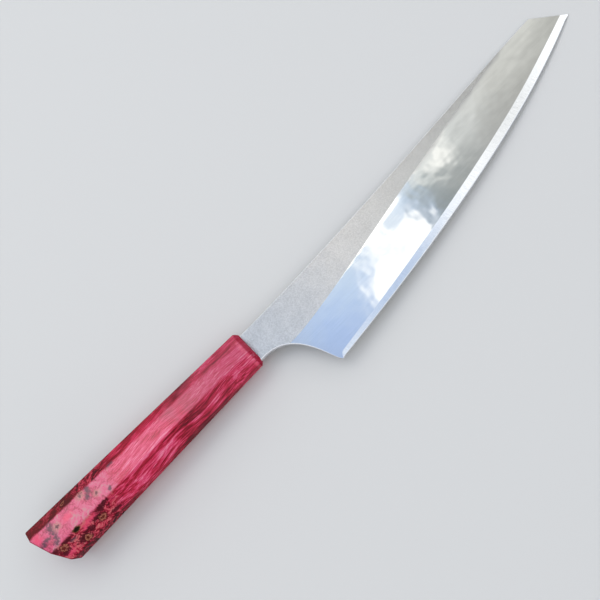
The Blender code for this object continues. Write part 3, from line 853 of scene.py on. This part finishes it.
shape = grid_piece("mortise_shape", mortise_points(), np.ones((3, 4), int), [burl_wood, burl_wood])
cut = handle.modifiers.new("mortise", 'BOOLEAN')
cut.operation, cut.solver, cut.object = 'DIFFERENCE', 'EXACT', shape
graph = bpy.context.evaluated_depsgraph_get()
cut_mesh = bpy.data.meshes.new_from_object(handle.evaluated_get(graph))
handle.modifiers.clear()
handle.data = cut_mesh
bpy.data.objects.remove(shape)
crisp_zones(cut_mesh)
print("handle with its mortise:", len(cut_mesh.polygons), "faces")
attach(handle, "root")
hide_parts("handle_block")

# %% [markdown]
# ## Resin in the mortise
#
# The bed round the tang is sealed inside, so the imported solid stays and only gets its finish:
# dark cured resin with a few trapped bubbles.

# %% Resin
def cured_resin():
    """Dark amber with specks where bubbles were trapped."""
    material, n = new_material("cured resin")
    bubbles = n.noise(n.place_mm(), 1.4, 2.0)
    n.finish({"Base Color": n.ramp(bubbles, (0.35, (0.05, 0.035, 0.02)), (0.7, (0.14, 0.10, 0.06))),
              "Roughness": 0.3 + bubbles * 0.2})
    return material


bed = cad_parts["resin_bed"]
bed.data.materials.clear()
bed.data.materials.append(cured_resin())

# %% [markdown]
# ## Floor
#
# The knife rests on the handle's lower front arris and on the clip's corner, as any knife
# with a thick handle does when it is laid on its side, so the floor is the plane through
# those two.

# %% Floor
FLOOR_SIZE = 20000.0
FLOOR_COLOUR = (0.66, 0.66, 0.655, 1.0)
rest_front = (-FRONT_ROUND, -FRONT[1] / 2)
rest_tip = (corner[0], -CORNER_THICKNESS / 2)
floor_slope = (rest_tip[1] - rest_front[1]) / (rest_tip[0] - rest_front[0])
span = np.linspace(-FLOOR_SIZE, FLOOR_SIZE, 3)
fx, fy = np.meshgrid(span, span, indexing="ij")
fz = rest_front[1] + (fx - rest_front[0]) * floor_slope
floor_mesh = bpy.data.meshes.new("floor")
floor_ids = np.arange(9).reshape(3, 3)
floor_quads = np.stack([floor_ids[:-1, :-1], floor_ids[1:, :-1],
                        floor_ids[1:, 1:], floor_ids[:-1, 1:]], axis=-1)
floor_points = (np.stack([fx, fy, fz], axis=-1).reshape(-1, 3) + ZERO) * MM
floor_mesh.from_pydata(floor_points.tolist(), [], floor_quads.reshape(-1, 4).tolist())
floor = bpy.data.objects.new("floor", floor_mesh)
bpy.context.scene.collection.objects.link(floor)
floor_paint, n = new_material("pale floor")
n.finish({"Base Color": FLOOR_COLOUR, "Roughness": 0.9, "Specular IOR Level": 0.2})
floor_mesh.materials.append(floor_paint)
print("floor leans", round(math.degrees(math.atan(floor_slope)), 2), "degrees")

# %% [markdown]
# ## Sky
#
# A polished bevel shows the sky, so the sky carries what the photograph shows there. It is
# painted by direction: sx and sy are how far a direction points along X and Y. From low to
# high sy lie the strip that the cutting bevel mirrors, the open sky of the main bevel and
# the high sky of the flat. In each, sx runs along the blade: pale blue for the heel, a white
# cloud for the middle, small puffs after it and quiet grey for the tip. The places are
# fitted to the photograph's view; other views mirror other parts.

# %% Sky
world = bpy.data.worlds.new("studio sky")
bpy.context.scene.world = world
world.use_nodes = True
n = Nodes(world.node_tree)
direction = n.make("ShaderNodeTexCoord", out=0)
sx, sy = n.axis(direction, 0), n.axis(direction, 1)
wisp = n.noise(direction, 22.0, 4.0, 0.55) - 0.5


def between(value, low, high, soft):
    """1 between low and high, with soft flanks."""
    return n.step(value, low - soft, low + soft) * n.step(value, high + soft, high - soft)


# Blue over the heel, then grey towards the tip.
open_sky = n.ramp(sx, (0.00, (0.48, 0.61, 0.90)), (0.06, (0.53, 0.69, 1.04)),
                  (0.13, (0.64, 0.80, 1.08)),
                  (0.246, (0.64, 0.78, 1.00)), (0.262, (0.56, 0.68, 0.86)),
                  (0.282, (0.43, 0.48, 0.50)), (0.33, (0.53, 0.56, 0.56)),
                  (0.38, (0.66, 0.67, 0.66)), (0.44, (0.61, 0.61, 0.585)),
                  (0.52, (0.70, 0.70, 0.665)))
# What the cutting bevel mirrors.
low_sky = n.ramp(sx, (0.09, (0.95, 1.02, 1.12)), (0.13, (0.50, 0.64, 0.90)),
                 (0.26, (0.60, 0.72, 0.92)),
                 (0.31, (1.40, 1.40, 1.40)), (0.40, (1.25, 1.25, 1.23)), (0.445, (0.98, 0.98, 0.96)),
                 (0.47, (0.92, 0.92, 0.90)), (0.50, (1.15, 1.15, 1.13)), (0.54, (1.5, 1.5, 1.5)))
# What the satin flat blurs: dark for the neck, bright for its first third, then quieter.
high_sky = n.ramp(sx * 0.5 + 0.5, (0.30, (0.80, 0.82, 0.85)), (0.46, (0.14, 0.21, 0.31)),
                  (0.495, (0.10, 0.15, 0.23)), (0.527, (0.70, 0.74, 0.80)), (0.557, (2.80, 2.63, 2.38)),
                  (0.60, (1.12, 1.08, 1.02)), (0.65, (0.60, 0.60, 0.60)), (0.72, (0.50, 0.50, 0.50)),
                  (0.80, (0.26, 0.26, 0.26)), (0.88, (1.9, 1.9, 1.9)))
# The main bevel brightens from its foot to the grind line, more so towards the tip.
bevel_middle = sx * (0.52 - sx * 0.52) + 0.142
climb = (sy - bevel_middle) * 8.0 + 0.5
near_heel = n.ramp(climb, (0.30, (1.01, 1.01, 1.01)), (0.50, (1.06, 1.06, 1.04)),
                   (0.70, (1.20, 1.16, 1.06)))
near_tip = n.ramp(climb, (0.30, (0.86, 0.86, 0.85)), (0.50, (1.06, 1.06, 1.05)),
                  (0.70, (1.42, 1.42, 1.40)))
rise = n.mix(n.step(sx, 0.22, 0.29), near_heel, near_tip)
open_sky = n.vector('MULTIPLY', open_sky, rise)
tilt = sy - 0.2 * sx
sky = n.mix(n.step(tilt, 0.112, 0.092), open_sky, low_sky)
# The cloud, with a thin veil on its near flank, a blue notch at its top and a thin gap.
slant = sx - 0.4 * (sy - 0.18)
cloud = between(slant + wisp * 0.07, 0.139, 0.5, 0.012) * n.step(sx + wisp * 0.04, 0.262, 0.249)
veil = n.step(sx + wisp * 0.05, 0.188, 0.172) * n.step(sy + wisp * 0.05, 0.206, 0.222)
cloud = cloud * (1 - veil * 0.55) * n.step(sx, 0.263, 0.255)
notch = between(sx + wisp * 0.05, 0.215, 0.30, 0.008) * between(sy + wisp * 0.03, 0.241, 0.275, 0.008)
# Small puffs beyond the cloud.
puffs = between(sx + wisp * 0.06, 0.284, 0.350, 0.010)
puffs = puffs * n.step(sy - sx * 0.10 + wisp * 0.05, 0.224, 0.240)
puffs = puffs * (0.45 + n.step(wisp, -0.08, 0.02) * 0.55)
# The thin gap runs down the cloud.
streak = n.size(sy - 0.221 + (sx - 0.1975) * 0.63 + wisp * 0.03)
streak = n.step(streak, 0.010, 0.003) * between(sx, 0.184, 0.212, 0.006)
cloud = cloud * (1 - notch * 0.85) * (1 - streak * 0.55) * n.step(tilt, 0.092, 0.112)
# A bright brow along the grind line, over the cloud.
brow = between(sy, 0.272, 0.312, 0.006) * between(sx, 0.09, 0.25, 0.02)
sky = n.mix(cloud, sky, (1.6, 1.6, 1.58))
sky = n.mix(puffs, sky, (1.42, 1.41, 1.34))
sky = n.mix(n.step(sy, 0.29, 0.33), sky, high_sky)
sky = n.mix(brow, sky, (1.9, 1.9, 1.85))
# A bright patch for the handle's gloss, and plain tones all round.
over_handle = n.step(((sx + 0.25) * (sx + 0.25) + (sy - 0.36) * (sy - 0.36)) ** 0.5, 0.22, 0.08)
sky = n.mix(over_handle, sky, (2.1, 2.1, 2.2))
sky = n.mix(n.step(sy, 0.50, 0.62), sky, (1.15, 1.15, 1.12))
sky = n.mix(n.step(sy, -0.05, -0.25), sky, (1.10, 1.12, 1.15))
sky = n.mix(n.step(sy, -0.66, -0.80), sky, (0.28, 0.29, 0.28))
# As bright as the far floor renders, so that no horizon shows.
backdrop = (0.621, 0.641, 0.664)
sky = n.mix(n.step(n.axis(direction, 2), 0.34, 0.52), backdrop, sky)
glow = n.make("ShaderNodeBackground", {}, {"Color": sky, "Strength": 1.0})
n.make("ShaderNodeOutputWorld", {}, {"Surface": glow})

# %% [markdown]
# ## Key light
#
# One soft lamp from the spine's side gives the knife its shadow. Glossy surfaces don't see
# it, so the blade mirrors only the sky.

# %% Key light
LAMP_PLACE = (-0.15, 0.45, 0.8)
LAMP_TILT = math.radians(-30)
lamp_data = bpy.data.lights.new("soft box", 'AREA')
lamp_data.shape = 'DISK'
lamp_data.size = 0.5
lamp_data.energy = 1.0
lamp = bpy.data.objects.new("soft box", lamp_data)
lamp.location = LAMP_PLACE
lamp.rotation_euler = (LAMP_TILT, 0, 0)
lamp.visible_glossy = False
bpy.context.scene.collection.objects.link(lamp)

# %% [markdown]
# ## Camera
#
# Place, turn and focal length come from fitting a pinhole camera to the knife's corners and
# outlines in the photograph.

# %% Camera
LENS_PX = 699.1             # focal length in pixels of the 600-pixel photograph
PHOTO_PX = 600
EYE = np.array([19.0, -118.7, 325.25])
EYE_TURN = (15.936, 12.309, -43.949)
camera_data = bpy.data.cameras.new("photo view")
camera_data.sensor_width = 36.0
camera_data.lens = camera_data.sensor_width * LENS_PX / PHOTO_PX
camera_data.clip_start = 0.01
camera = bpy.data.objects.new("photo view", camera_data)
camera.location = (EYE + ZERO) * MM
camera.rotation_euler = Euler([math.radians(a) for a in EYE_TURN])
bpy.context.scene.collection.objects.link(camera)
bpy.context.scene.camera = camera
bpy.context.scene.view_settings.view_transform = 'Standard'
